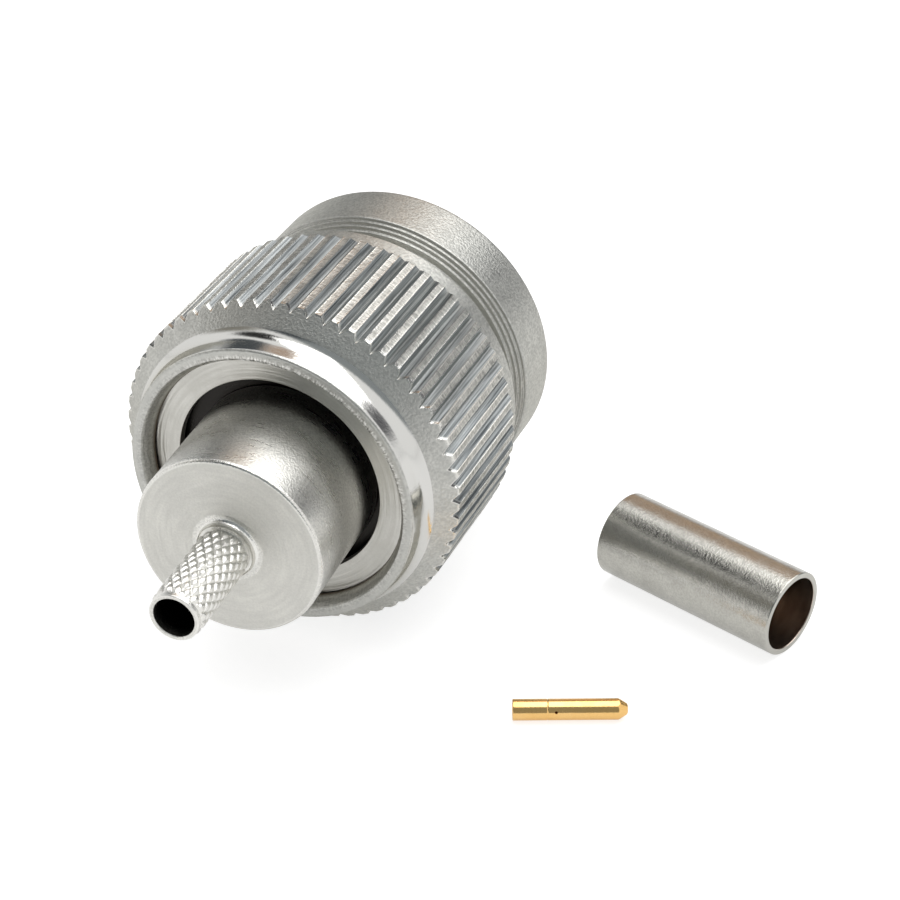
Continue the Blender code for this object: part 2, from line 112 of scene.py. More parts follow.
def facing(stations, radii):
    """How far each row looks along the axis: 1 on flat faces, 0 on cylinders, from the outline's slope."""
    rise = np.abs(np.roll(radii, -1, 0) - np.roll(radii, 1, 0))
    run = np.abs(np.roll(stations, -1, 0) - np.roll(stations, 1, 0))
    return rise / (rise + run + 1e-9)


def lathe(name, axis, corners, columns, material, body, slot, *nodes):
    """A ring-shaped piece: the eased outline carried once round its axis, closed on itself."""
    outline = eased(corners)
    angle = np.linspace(0.0, 2 * np.pi, columns, endpoint=False)
    points = around(axis, outline[:, :1], outline[:, 1:], angle[None, :])
    flat = np.repeat(facing(outline[:, :1], outline[:, 1:]), columns, 1)
    inner = np.repeat(outline[:, 1:] < np.min(outline[:, 1:]) + 0.02, columns, 1)
    return piece(name, points, grid_faces(len(outline), columns), material, body, slot, *nodes,
                 marks={"flat": flat, "inner": inner})


def put(tree, kind, *values, **settings):
    """Adds a node. The values fill its sockets in order: a socket is linked, None is left as it is."""
    added = tree.nodes.new(kind)
    for key, value in settings.items():
        setattr(added, key, value)
    for socket, value in zip(added.inputs, values):
        if isinstance(value, bpy.types.NodeSocket):
            tree.links.new(value, socket)
        elif value is not None:
            socket.default_value = value
    return added


def sums(tree, operation, *values):
    """One Math node's result."""
    return put(tree, "ShaderNodeMath", *values, operation=operation).outputs[0]


def ramp(tree, value, low, high, start=0.0, end=1.0):
    """The value taken from low..high to start..end, held at both ends. Any of them may be a socket."""
    return put(tree, "ShaderNodeMapRange", value, low, high, start, end).outputs[0]


def tint(tree, share, first, second):
    """A colour between two."""
    mix = put(tree, "ShaderNodeMix", share, data_type="RGBA")
    for socket, value in zip((mix.inputs[6], mix.inputs[7]), (first, second)):
        if isinstance(value, bpy.types.NodeSocket):
            tree.links.new(value, socket)
        else:
            socket.default_value = (*value, 1.0)
    return mix.outputs[2]


def noise(tree, vector, scale, detail=2.0, roughness=0.5):
    """Cloudy noise from 0 to 1."""
    return put(tree, "ShaderNodeTexNoise", vector, None, scale, detail, roughness).outputs[0]


def effect(name, inputs, outputs):
    """An empty shader node group with named inputs and outputs, and its two end nodes."""
    tree = bpy.data.node_groups.new(name, "ShaderNodeTree")
    for label, kind, value in inputs:
        socket = tree.interface.new_socket(label, in_out="INPUT", socket_type=kind)
        if value is not None:
            socket.default_value = value
    for label, kind in outputs:
        tree.interface.new_socket(label, in_out="OUTPUT", socket_type=kind)
    return tree, tree.nodes.new("NodeGroupInput"), tree.nodes.new("NodeGroupOutput")


# The lathe's feed lines: noise that changes fast along the outline (radius + 1.37 * station) and
# slowly round it, so that it reads as rings on flat faces and on cylinders alike.
tree, given, out = effect(
    "turned_lines",
    [("Place", "NodeSocketVector", None), ("Lines", "NodeSocketFloat", 12.0),
     ("Waver", "NodeSocketFloat", 2.0)],
    [("Lines", "NodeSocketFloat"), ("Bands", "NodeSocketFloat")],
)
x, y, z = put(tree, "ShaderNodeSeparateXYZ", given.outputs["Place"]).outputs
radius = sums(tree, "SQRT", sums(tree, "ADD", sums(tree, "MULTIPLY", x, x), sums(tree, "MULTIPLY", y, y)))
flat = put(tree, "ShaderNodeCombineXYZ", x, y, 0.0).outputs[0]
turning = put(tree, "ShaderNodeVectorMath", flat, operation="NORMALIZE").outputs[0]
turning = put(tree, "ShaderNodeVectorMath", turning, operation="SCALE")
tree.links.new(given.outputs["Waver"], turning.inputs["Scale"])
feed = sums(tree, "ADD", sums(tree, "MULTIPLY", z, 1370.0), sums(tree, "MULTIPLY", radius, 1000.0))
stack = sums(tree, "MULTIPLY", feed, given.outputs["Lines"])
stack = put(tree, "ShaderNodeCombineXYZ", 0.0, 0.0, stack).outputs[0]
winding = put(tree, "ShaderNodeVectorMath", turning.outputs[0], stack, operation="ADD").outputs[0]
tree.links.new(noise(tree, winding, 1.0, 1.0), out.inputs["Lines"])
slow = put(tree, "ShaderNodeCombineXYZ", 0.0, 0.0, sums(tree, "MULTIPLY", feed, 2.2)).outputs[0]
slow = put(tree, "ShaderNodeVectorMath", turning.outputs[0], slow, operation="ADD").outputs[0]
tree.links.new(noise(tree, slow, 1.0, 2.0), out.inputs["Bands"])

# What the plating bath and handling leave: fine frost, soft clouds and a few small specks.
tree, given, out = effect(
    "plating",
    [("Place", "NodeSocketVector", None), ("Grain", "NodeSocketFloat", 14.0),
     ("Cloud", "NodeSocketFloat", 0.8)],
    [("Frost", "NodeSocketFloat"), ("Clouds", "NodeSocketFloat"), ("Specks", "NodeSocketFloat")],
)
place = put(tree, "ShaderNodeVectorMath", given.outputs["Place"], operation="SCALE")
place.inputs["Scale"].default_value = 1000.0
place = place.outputs[0]
grain = put(tree, "ShaderNodeTexNoise", place, None, given.outputs["Grain"], 2.0, 0.6).outputs[0]
tree.links.new(ramp(tree, grain, 0.38, 0.62), out.inputs["Frost"])
cloud = put(tree, "ShaderNodeTexNoise", place, None, given.outputs["Cloud"], 4.0, 0.62).outputs[0]
tree.links.new(ramp(tree, cloud, 0.32, 0.68), out.inputs["Clouds"])
dots = put(tree, "ShaderNodeTexVoronoi", place, None, 1.7).outputs["Distance"]
tree.links.new(ramp(tree, dots, 0.05, 0.12, 1.0, 0.0), out.inputs["Specks"])


def marked(tree, mark):
    """A mark kept on the mesh, 0 to 1."""
    return put(tree, "ShaderNodeAttribute", attribute_name=mark).outputs["Fac"]


def fed(surface, label):
    """What already feeds a socket of a material's surface."""
    return surface.inputs[label].links[0].from_socket


def on_axis(tree, axis):
    """Object coordinates brought on to an axis: z runs along it from its point, x and y lie across it."""
    place = put(tree, "ShaderNodeTexCoord").outputs["Object"]
    turned = (-math.pi / 2, 0.0, axis["turn"])
    return put(tree, "ShaderNodeMapping", place, tuple(axis["at"]), turned, vector_type="TEXTURE").outputs[0]


def placed(tree, group, place, **values):
    """The results of a shared effect at a place, with its own values."""
    added = put(tree, "ShaderNodeGroup", place, node_tree=bpy.data.node_groups[group])
    for label, value in values.items():
        added.inputs[label].default_value = value
    return added.outputs


def turned_metal(name, axis, light, dark, shine, dull, face, lines, line_depth, frost_depth,
                 grain=14.0, cloud=0.8, mottle=0.4):
    """Turned and plated metal. The clouds take the colour from light to dark and the roughness from
    shine to dull, with a roughness of its own on flat faces. Feed lines and frost stand as relief."""
    material = bpy.data.materials.new(name)
    material.use_nodes = True
    tree = material.node_tree
    surface = tree.nodes["Principled BSDF"]
    surface.inputs["Metallic"].default_value = 1.0
    place = on_axis(tree, axis)
    rings = placed(tree, "turned_lines", place, Lines=lines)
    skin = placed(tree, "plating", place, Grain=grain, Cloud=cloud)
    flat = marked(tree, "flat")
    colour = tint(tree, skin["Clouds"], light, dark)
    lined = sums(tree, "MULTIPLY", ramp(tree, rings["Lines"], 0.3, 0.7), ramp(tree, flat, 0.3, 0.9, 0.0, 0.8))
    colour = tint(tree, lined, colour, dark)
    spots = sums(tree, "MAXIMUM", skin["Frost"], skin["Specks"])
    spots = sums(tree, "MULTIPLY", spots, ramp(tree, flat, 0.3, 0.9, mottle, 0.3 * mottle))
    colour = tint(tree, spots, colour, tuple(0.72 * part for part in dark))
    tree.links.new(colour, surface.inputs["Base Color"])
    rough = ramp(tree, skin["Clouds"], 0.0, 1.0, shine, dull)
    rough = ramp(tree, flat, 0.45, 0.8, rough, face)
    rough = sums(tree, "ADD", rough, ramp(tree, rings["Lines"], 0.3, 0.7, -0.03, 0.03))
    tree.links.new(rough, surface.inputs["Roughness"])
    cut = ramp(tree, flat, 0.2, 0.9, 0.12 * line_depth, line_depth)
    relief = sums(tree, "MULTIPLY", rings["Lines"], cut)
    relief = sums(tree, "ADD", relief, sums(tree, "MULTIPLY", skin["Frost"], frost_depth))
    bump = put(tree, "ShaderNodeBump", 1.0, 1e-5)
    tree.links.new(relief, bump.inputs["Height"])
    tree.links.new(bump.outputs[0], surface.inputs["Normal"])
    return material


body_axis = level_axis(PLUG_X, PLUG_Y, BODY_HEIGHT, BODY_LEAN)
contact_nickel = turned_metal(
    "contact_nickel", body_axis, light=(0.62, 0.61, 0.58), dark=(0.50, 0.49, 0.46),
    shine=0.18, dull=0.30, face=0.30, lines=16.0, line_depth=0.4, frost_depth=0.05,
)
# The flange's rear face and the hub sit far behind the washer, and painted shade takes them almost to black.
tree = contact_nickel.node_tree
surface = tree.nodes["Principled BSDF"]
depth = put(tree, "ShaderNodeSeparateXYZ", on_axis(tree, body_axis)).outputs[2]
painted_shade = ramp(tree, depth, 0.0001, 0.0009, 1.0, 0.0)
colour = tint(tree, painted_shade, fed(surface, "Base Color"), (0.030, 0.028, 0.026))
tree.links.new(colour, surface.inputs["Base Color"])
lathe("outer_contact_sleeve", body_axis, [
    (-0.119, 5.235, 0.08), (0.881, 5.235, 0.10), (0.881, 4.811, 0.06), (3.831, 4.811, 0.12),
    (3.831, 4.05, 0.05), (10.531, 4.05, 0.12), (10.531, 3.35, 0.14), (4.951, 3.35, 0.03),
    (4.951, 3.50, 0.03), (-0.119, 3.50, 0.02),
], 160, contact_nickel, "plug", "contact_nickel", "outer_contact")

# Gasket. A moulded silicone ring with rounded edges, seated on the hub's front face.
silicone = bpy.data.materials.new("silicone")
silicone.use_nodes = True
tree = silicone.node_tree
surface = tree.nodes["Principled BSDF"]
place = put(tree, "ShaderNodeTexCoord").outputs["Object"]
bloom = noise(tree, place, 900.0, 4.0, 0.6)
colour = tint(tree, ramp(tree, bloom, 0.3, 0.75), (0.36, 0.055, 0.035), (0.46, 0.10, 0.07))
tree.links.new(colour, surface.inputs["Base Color"])
tree.links.new(ramp(tree, bloom, 0.3, 0.7, 0.45, 0.62), surface.inputs["Roughness"])
bump = put(tree, "ShaderNodeBump", 0.5, 1e-5)
tree.links.new(noise(tree, place, 9000.0, 2.0), bump.inputs["Height"])
tree.links.new(bump.outputs[0], surface.inputs["Normal"])
lathe("silicone_gasket", body_axis, [
    (3.861, 4.711, 0.10), (4.861, 4.711, 0.22), (4.861, 4.15, 0.20), (3.861, 4.15, 0.10),
], 128, silicone, "plug", "silicone", "gasket")

# Insulators. Two turned pieces of white fluoroplastic: a stepped disc that will hold the pin, and the
# tube behind it in the body. They are pressed in and show faint tool rings.
ptfe = bpy.data.materials.new("ptfe")
ptfe.use_nodes = True
tree = ptfe.node_tree
surface = tree.nodes["Principled BSDF"]
surface.inputs["Subsurface Weight"].default_value = 0.15
surface.inputs["Subsurface Scale"].default_value = 0.0004
rings = placed(tree, "turned_lines", on_axis(tree, body_axis), Lines=7.0)
colour = tint(tree, rings["Bands"], (0.84, 0.84, 0.82), (0.76, 0.76, 0.73))
tree.links.new(colour, surface.inputs["Base Color"])
tree.links.new(ramp(tree, rings["Lines"], 0.3, 0.7, 0.38, 0.55), surface.inputs["Roughness"])
bump = put(tree, "ShaderNodeBump", 1.0, 3e-6)
tree.links.new(rings["Lines"], bump.inputs["Height"])
tree.links.new(bump.outputs[0], surface.inputs["Normal"])
lathe("front_insulator_disc", body_axis, [
    (2.751, 3.45, 0.06), (4.921, 3.45, 0.05), (4.921, 3.30, 0.03), (5.621, 3.30, 0.10), (5.621, 0.45, 0.12),
    (2.751, 0.45, 0.08),
], 128, ptfe, "plug", "ptfe", "front_insulator")
lathe("rear_insulator_tube", body_axis, [
    (-4.84, 2.50, 0.08), (2.721, 2.50, 0.08), (2.721, 0.84, 0.06), (-4.84, 0.84, 0.06),
], 96, ptfe, "plug", "ptfe", "rear_insulator")

# Plug body. Turned brass, satin nickel: a smooth cylinder that ends in a flat disc, and the hollow crimp
# stem with its diamond knurl, which bites into the braid under the ferrule.
STEM_DIAMONDS = 16                # round the stem
DIAMOND_ROW = 0.683               # from one diamond to the next along the stem
KNURL_VALLEY, KNURL_HEIGHT = 1.01, 0.08
KNURL_START, KNURL_END = -6.31, -10.46
COLUMNS = 12 * STEM_DIAMONDS


def diamond_height(station, angle):
    """Height of the crossed knurl, 0 to 1: the lesser of two triangle waves on the two slanting turns."""
    u, v = STEM_DIAMONDS * angle / (2 * np.pi), station / DIAMOND_ROW
    one = np.abs(2.0 * ((u + v) % 1.0) - 1.0)
    two = np.abs(2.0 * ((u - v) % 1.0) - 1.0)
    return np.minimum(1.0, 2.1 * np.minimum(one, two))


def plain_rows(outline, columns):
    """Stations and radii of rows that are the same all the way round."""
    return np.repeat(outline[:, :1], columns, 1), np.repeat(outline[:, 1:], columns, 1)


angle = np.linspace(0.0, 2 * np.pi, COLUMNS, endpoint=False)[None, :]
front = eased([
    (-5.0, 0.84, 0.0), (-4.87, 0.84, 0.03), (-4.87, 2.55, 0.05), (2.721, 2.55, 0.05), (2.721, 3.47, 0.08),
    (-0.149, 3.47, 0.04), (-0.149, 3.92, 0.08), (-5.92, 3.92, 0.16), (-5.92, 1.17, 0.24), (-6.18, 1.17, 0.02),
    (-6.20, 0.98, 0.02), (-6.29, 0.99, 0.0),
])
knurl_rows = np.linspace(KNURL_START, KNURL_END, 66)[:, None]
fade = np.clip(np.minimum(KNURL_START - knurl_rows, knurl_rows - KNURL_END) / 0.08, 0.0, 1.0)
knurl = KNURL_VALLEY + KNURL_HEIGHT * fade * diamond_height(knurl_rows, angle)
tail = eased([
    (-10.48, 1.00, 0.0), (-10.52, 1.02, 0.02), (-10.72, 1.02, 0.05), (-10.72, 0.84, 0.05),
    (-10.2, 0.84, 0.0), (-5.2, 0.84, 0.0),
])
front_s, front_r = plain_rows(front, COLUMNS)
tail_s, tail_r = plain_rows(tail, COLUMNS)
stations = np.concatenate([front_s, np.repeat(knurl_rows, COLUMNS, 1), tail_s])[::-1]
radii = np.concatenate([front_r, knurl, tail_r])[::-1]
body_nickel = turned_metal(
    "body_nickel", body_axis, light=(0.82, 0.81, 0.76), dark=(0.74, 0.73, 0.69),
    shine=0.27, dull=0.33, face=0.60, lines=6.0, line_depth=0.45, frost_depth=0.40, grain=11.0, mottle=0.6,
)
tree = body_nickel.node_tree
surface = tree.nodes["Principled BSDF"]
# Painted light: the crimp stem is held at an even light tone, for the light its knurl catches. Painted shade:
# the stem's bore goes almost to black.
colour = tint(tree, marked(tree, "stem"), fed(surface, "Base Color"), (0.82, 0.81, 0.77))
colour = tint(tree, marked(tree, "bore"), colour, (0.05, 0.047, 0.043))
tree.links.new(colour, surface.inputs["Base Color"])
rough = ramp(tree, marked(tree, "edge"), 0.0, 1.0, fed(surface, "Roughness"), 0.15)
tree.links.new(rough, surface.inputs["Roughness"])
disc_edge = (stations < -5.76) & (radii > 3.78)
stem_root = (stations < -5.93) & (radii > 1.15)
marks = {
    "flat": facing(stations, radii) * (radii > 1.45),
    "stem": (radii > 0.95) & (radii < 1.30) & (stations < -5.95),
    "bore": (radii < 0.88) & (stations > -10.6),
    "edge": disc_edge | stem_root,
}
piece("plug_body_shell", around(body_axis, stations, radii, angle), grid_faces(len(stations), COLUMNS),
      body_nickel, "plug", "body_nickel", "plug_body", marks=marks)

# Back washer. A flat turned ring of nickel plated brass, loose behind the lip, that keeps the nut on.
nut_axis = level_axis(PLUG_X, PLUG_Y, 7.4, 0.0)
washer_nickel = turned_metal(
    "washer_nickel", nut_axis, light=(0.67, 0.66, 0.62), dark=(0.54, 0.53, 0.49),
    shine=0.26, dull=0.34, face=0.32, lines=8.0, line_depth=2.2, frost_depth=0.06,
)
lathe("back_washer_ring", nut_axis, [
    (-0.95, 5.62, 0.03), (-0.55, 5.62, 0.03), (-0.55, 4.43, 0.03), (-0.95, 4.43, 0.04),
], 256, washer_nickel, "washer", "washer_nickel", "back_washer")

# Coupling nut. Turned brass, nickel plated: a straight knurl between the rear chamfer and a short land,
# an undercut neck and a plain collar. The rear lip is rolled in over the washer, which leaves it rough.
TEETH = 63
NUT_RADIUS, GROOVE = 7.40, 0.24        # crests and depth of the knurl
KNURL_REAR, REAR_SLOPE = 0.13, 1.18    # the rear cone reaches the crests here; its rise in radius by station
KNURL_FRONT, CONE_SLOPE = 6.00, 1.20   # the same at the front
LIP_EDGE = 6.62                        # where the cone starts outside the lip
NECK_START = 7.25
THREAD_CREST, THREAD_ROOT, THREAD_PITCH = 5.06, 5.55, 25.4 / 28
rng = np.random.default_rng(7)
phase = np.array([-0.5, -0.475, -0.35, -0.215, -0.19, -0.10, 0.0, 0.10, 0.19, 0.215, 0.35, 0.475])
drop = np.array([1.0, 0.98, 0.545, 0.07, -0.03, 0.01, 0.0, 0.01, -0.03, 0.07, 0.545, 0.98]) * GROOVE
tooth = np.repeat(np.arange(TEETH), 12)
turn = (tooth + np.tile(phase, TEETH)) * 2 * np.pi / TEETH
crest = np.tile(np.abs(phase) < 0.2, TEETH).astype(float)
jitter = np.repeat(rng.normal(0.0, 0.006, TEETH), 12)
groove = np.tile(NUT_RADIUS - drop, TEETH) + jitter * crest
columns = len(turn)


def ripple(station, angle, size):
    """A slow waver of hand-fed knurling: three sines of station and angle, of the given size in mm."""
    waves = np.sin(2.1 * station + 5 * angle) + np.sin(5.3 * station - 9 * angle + 1.0)
    return size * (waves + np.sin(9.7 * station + 31 * angle)) / 3


def wear(angle):
    """How torn the rolled rim is, and how strong its painted glints are, 0.1 to 1: twice a cosine about 0.5
    radian, less 0.6, held between them.
    """
    return np.clip(2.0 * np.cos(angle - 0.5) - 0.6, 0.1, 1.0)


rear = eased([
    (-1.762, 5.88, 0.0), (-1.77, 6.22, 0.13), (-0.80, 6.30, 0.36), (-0.55, 6.59, 0.0),
], 10)
lip_s, lip_r = plain_rows(rear, columns)
share = np.array([0.0, 0.15, 0.3, 0.45, 0.6, 0.75, 0.9, 1.0])[:, None]
chamfer_r = LIP_EDGE + (groove - LIP_EDGE) * share
chamfer_s = KNURL_REAR - (NUT_RADIUS - chamfer_r) / REAR_SLOPE
start, end = chamfer_s[-1], KNURL_FRONT + (NUT_RADIUS - groove) / CONE_SLOPE
run = np.concatenate([[0.012], np.linspace(0.04, 0.96, 24), [0.988, 1.0]])[:, None]
knurl_s = start + (end - start) * run
knurl_r = groove + ripple(knurl_s, turn, 0.008) * crest * (run < 0.99) * (run > 0.02)
land = eased([
    (6.20, 7.16, 0.0), (6.44, 6.96, 0.05), (NECK_START, 6.96, 0.04), (NECK_START + 0.03, 6.80, 0.0),
])[2:]
land_s, land_r = plain_rows(land, columns)
outer_s = np.concatenate([lip_s, chamfer_s, knurl_s, land_s])
outer_r = np.concatenate([lip_r, chamfer_r, knurl_r, land_r])
# In front of the land the nut is plain, and one column is enough for six of the knurl's.
coarse = columns // 6
inner_turn = (np.arange(coarse) - 1) * np.pi / TEETH
neck = eased([
    (NECK_START + 0.03, 6.78, 0.0), (NECK_START + 0.04, 6.30, 0.05), (7.62, 6.30, 0.04), (7.66, 6.16, 0.04),
    (7.98, 6.16, 0.04), (8.02, 6.05, 0.04), (8.52, 6.05, 0.06), (8.56, 6.30, 0.04), (8.68, 6.32, 0.03),
    (8.70, 6.46, 0.03), (8.80, 6.48, 0.03), (8.82, 6.62, 0.03), (8.93, 6.64, 0.03), (8.945, 6.78, 0.06),
    (11.496, 6.78, 0.16), (11.496, 6.1, 0.0),
])
mouth = np.array([(11.496, 5.72), (11.47, 5.66), (11.20, 5.56)])
thread_s = np.arange(10.9, 1.33, -THREAD_PITCH / 10)[:, None]
wave = np.abs(2.0 * ((thread_s / THREAD_PITCH - inner_turn / (2 * np.pi)) % 1.0) - 1.0)
depth = np.clip((wave - 0.12) / 0.76, 0.0, 1.0) * np.clip((thread_s - 1.4) / 0.8, 0.0, 1.0)
thread_r = THREAD_CREST + (THREAD_ROOT - THREAD_CREST) * depth
thread_r = np.maximum(thread_r, THREAD_CREST + np.clip(thread_s - 10.70, 0.0, 1.0) * 1.2)
back = eased([
    (1.312, THREAD_CREST, 0.0), (1.312, 5.40, 0.03), (-0.5, 5.40, 0.03), (-0.5, 5.70, 0.02),
    (-1.0, 5.70, 0.03), (-1.04, 5.50, 0.04), (-1.45, 5.60, 0.10), (-1.70, 5.74, 0.05),
    (-1.76, 5.80, 0.02), (-1.765, 5.86, 0.0),
])
neck_s, neck_r = plain_rows(neck, coarse)
mouth_s, mouth_r = plain_rows(mouth, coarse)
back_s, back_r = plain_rows(back, coarse)
inner_s = np.concatenate([neck_s, mouth_s, np.repeat(thread_s, coarse, 1), back_s])
inner_r = np.concatenate([neck_r, mouth_r, thread_r, back_r])
rough = wear(inner_turn) * np.clip((-1.0 - inner_s) / 0.2, 0.0, 1.0)
rough *= np.clip((5.86 - inner_r) / 0.06, 0.0, 1.0)
inner_r += rough * rng.normal(0.0, 0.012, inner_r.shape)
inner_s += rough * rng.normal(0.0, 0.010, inner_r.shape)
outer = around(nut_axis, outer_s, outer_r, turn[None, :]).reshape(-1, 3)
inner = around(nut_axis, inner_s, inner_r, inner_turn[None, :]).reshape(-1, 3)
total, last, final = len(outer), len(outer) - columns, len(outer) + len(inner) - coarse
j, k = np.arange(coarse)[:, None], np.arange(6)[None, :]
near, far = (6 * j + k) % columns, (6 * j + k + 1) % columns
after, corner = (j + 1) % coarse, (6 * j + 6) % columns
front_fan = np.stack([last + near, last + far, total + j + 0 * k], -1).reshape(-1, 3)
front_gap = np.concatenate([last + corner, total + after, total + j], 1)
rear_fan = np.stack([final + j + 0 * k, far, near], -1).reshape(-1, 3)
rear_gap = np.concatenate([final + j, final + after, corner], 1)
faces = grid_faces(len(outer_s), columns, False).tolist()
faces += grid_faces(len(inner_s), coarse, False, total).tolist()
for seam in (front_fan, front_gap, rear_fan, rear_gap):
    faces += seam.tolist()

nut_nickel = turned_metal(
    "nut_nickel", nut_axis, light=(0.62, 0.615, 0.58), dark=(0.54, 0.54, 0.51),
    shine=0.34, dull=0.44, face=0.38, lines=15.0, line_depth=0.4, frost_depth=0.60,
    grain=9.0, cloud=1.6, mottle=0.8,
)
tree = nut_nickel.node_tree
surface = tree.nodes["Principled BSDF"]
surface.inputs["Specular Tint"].default_value = (0.78, 0.77, 0.73, 1.0)
flank, ridge, burr_and_glint = marked(tree, "flank"), marked(tree, "ridge"), marked(tree, "burr_and_glint")
polish_and_sheen, rolled_and_glints, painted_shade = marked(tree, "polish_and_sheen"), marked(tree, "rolled_and_glints"), marked(tree, "painted_shade")
place = on_axis(tree, nut_axis)
# Lines drawn along the flanks, short hatches across the crests, and tears round the rolled rim. The flanks
# also carry painted shade, and the tears painted glints.
drawn = put(tree, "ShaderNodeMapping", place, None, None, (13000.0, 13000.0, 260.0)).outputs[0]
drawn = noise(tree, drawn, 1.0, 3.0, 0.6)
hatched = put(tree, "ShaderNodeMapping", place, None, None, (2500.0, 2500.0, 15000.0)).outputs[0]
hatched = noise(tree, hatched, 1.0, 3.0, 0.7)
torn = placed(tree, "turned_lines", place, Lines=5.0, Waver=75.0)["Lines"]
# Painted shade: the flanks' drawn lines run between near black and blue-grey, far darker than the plating.
flank_shade_colour = tint(tree, ramp(tree, drawn, 0.35, 0.65), (0.10, 0.11, 0.115), (0.48, 0.505, 0.51))
ridge_colour = tint(tree, ramp(tree, hatched, 0.38, 0.62), (0.30, 0.295, 0.275), (0.66, 0.65, 0.61))
# Painted glints: the tears round the rolled rim run up to near white, strongest round one side, where wear()
# is highest.
torn_glint_colour = tint(tree, ramp(tree, torn, 0.35, 0.68), (0.42, 0.41, 0.38), (0.95, 0.94, 0.90))
colour = tint(tree, flank, fed(surface, "Base Color"), flank_shade_colour)
colour = tint(tree, ridge, colour, ridge_colour)
# Painted glint: the burrs at the teeth's edges are lighter in colour, besides their low roughness.
colour = tint(tree, sums(tree, "MULTIPLY", burr_and_glint, 0.8), colour, (0.78, 0.77, 0.73))
# Painted sheen: the polished lip band is lighter in colour, besides its low roughness.
colour = tint(tree, polish_and_sheen, colour, (0.66, 0.655, 0.63))
# Painted shade with a painted brown reflection: inside the nut, from behind the lip to the start of the
# thread, the colour goes to a dark brown.
colour = tint(tree, painted_shade, colour, (0.10, 0.075, 0.055))
colour = tint(tree, rolled_and_glints, colour, torn_glint_colour)
tree.links.new(colour, surface.inputs["Base Color"])
rough = ramp(tree, flank, 0.0, 1.0, fed(surface, "Roughness"), 0.48)
rough = ramp(tree, sums(tree, "MAXIMUM", polish_and_sheen, burr_and_glint), 0.0, 1.0, rough, 0.13)
tree.links.new(rough, surface.inputs["Roughness"])
bump = fed(surface, "Normal").node
smoothed = ramp(tree, sums(tree, "MAXIMUM", polish_and_sheen, flank), 0.0, 1.0, 1.0, 0.12)
relief = sums(tree, "MULTIPLY", bump.inputs["Height"].links[0].from_socket, smoothed)
for lines, where, height in ((hatched, ridge, 1.2), (torn, rolled_and_glints, 1.2), (drawn, flank, 0.8)):
    relief = sums(tree, "ADD", relief, sums(tree, "MULTIPLY", sums(tree, "MULTIPLY", lines, where), height))
tree.links.new(relief, bump.inputs["Height"])

first = len(lip_s) + len(chamfer_s)
flanks, ridges, edges = np.zeros((3, *outer_s.shape))
flank_share = np.select([np.abs(phase) > 0.47, np.abs(phase) > 0.2], [0.7, 1.0])
flanks[first:first + len(knurl_s)] = np.tile(flank_share, TEETH)
ridges[first + 1:first + len(knurl_s) - 1] = np.tile(np.abs(phase) < 0.2, TEETH)
edges[first - 1:first + len(knurl_s)] = np.tile(np.abs(np.abs(phase) - 0.195) < 0.01, TEETH)
edges[first - 1:first + 1] = 1.0
plain, plain_flat = np.zeros((2, *inner_s.shape))
plain_flat[:len(neck_s)] = facing(neck_s, neck_r)
marks = {
    "flat": (facing(outer_s, outer_r), plain_flat),
    "flank": (flanks, plain),
    "burr_and_glint": (edges, plain),
    "ridge": (ridges, plain),
    "polish_and_sheen": ((outer_s < -0.56) & (outer_s > -1.69) & (outer_r > 6.1), plain),
    "rolled_and_glints": (((outer_s < -1.69) & (outer_r < 5.96)) * wear(turn), (inner_s < -1.30) * wear(inner_turn)),
    "painted_shade": (np.zeros(outer_s.shape), (inner_s < 2.0) & (inner_s > -1.15)),
}
marks = {mark: np.concatenate([part.ravel() for part in parts]) for mark, parts in marks.items()}
piece("coupling_nut_shell", np.concatenate([outer, inner]), faces, nut_nickel, "nut", "nut_nickel",
      "coupling_nut", marks=marks)

# Crimp ferrule. A length of thin brass tube, nickel plated and a little darker, with broken edges. It
# lies loose on the right and is slid over the braid and crimped on to the stem.
ferrule_axis = level_axis(13.303, 5.177, 1.825, math.radians(71.35))
ferrule_nickel = turned_metal(
    "ferrule_nickel", ferrule_axis, light=(0.57, 0.56, 0.515), dark=(0.48, 0.47, 0.43),
    shine=0.19, dull=0.25, face=0.24, lines=3.0, line_depth=0.0, frost_depth=0.24, grain=11.0, cloud=1.1,
)
tree = ferrule_nickel.node_tree
surface = tree.nodes["Principled BSDF"]
# Painted reflection: the inside of the tube is tinted a light brown.
colour = tint(tree, marked(tree, "inner"), fed(surface, "Base Color"), (0.62, 0.53, 0.46))
tree.links.new(colour, surface.inputs["Base Color"])
lathe("crimp_ferrule_tube", ferrule_axis, [
    (0.0, 1.825, 0.06), (8.69, 1.825, 0.06), (8.69, 1.57, 0.06), (0.0, 1.57, 0.06),
], 128, ferrule_nickel, "plug", "ferrule_nickel", "crimp_ferrule")

# Contact pin. Turned from brass and gold plated: a crimp bore at one end with an inspection hole, a fine
# ring behind it, and a blunt conical tip. It lies loose in front of the ferrule.
pin_axis = level_axis(4.483, -3.333, 0.43, math.radians(-66.4))
gold = turned_metal(
    "gold", pin_axis, light=(0.94, 0.62, 0.26), dark=(0.90, 0.55, 0.19),
    shine=0.12, dull=0.20, face=0.2, lines=12.0, line_depth=0.2, frost_depth=0.05, mottle=0.15,
)
outline = eased([
    (1.90, 0.02, 0.0), (1.90, 0.27, 0.04), (0.0, 0.27, 0.03), (0.0, 0.43, 0.04), (1.36, 0.43, 0.008),
    (1.39, 0.413, 0.006), (1.42, 0.43, 0.008), (4.21, 0.43, 0.06), (4.57, 0.20, 0.08), (4.572, 0.02, 0.0),
])
PIN_COLUMNS = 72
angle = np.linspace(0.0, 2 * np.pi, PIN_COLUMNS, endpoint=False)
points = around(pin_axis, outline[:, :1], outline[:, 1:], angle[None, :])
faces = grid_faces(len(outline), PIN_COLUMNS, False).tolist()
faces += [list(range(PIN_COLUMNS))[::-1], list(range((len(outline) - 1) * PIN_COLUMNS, points[..., 0].size))]
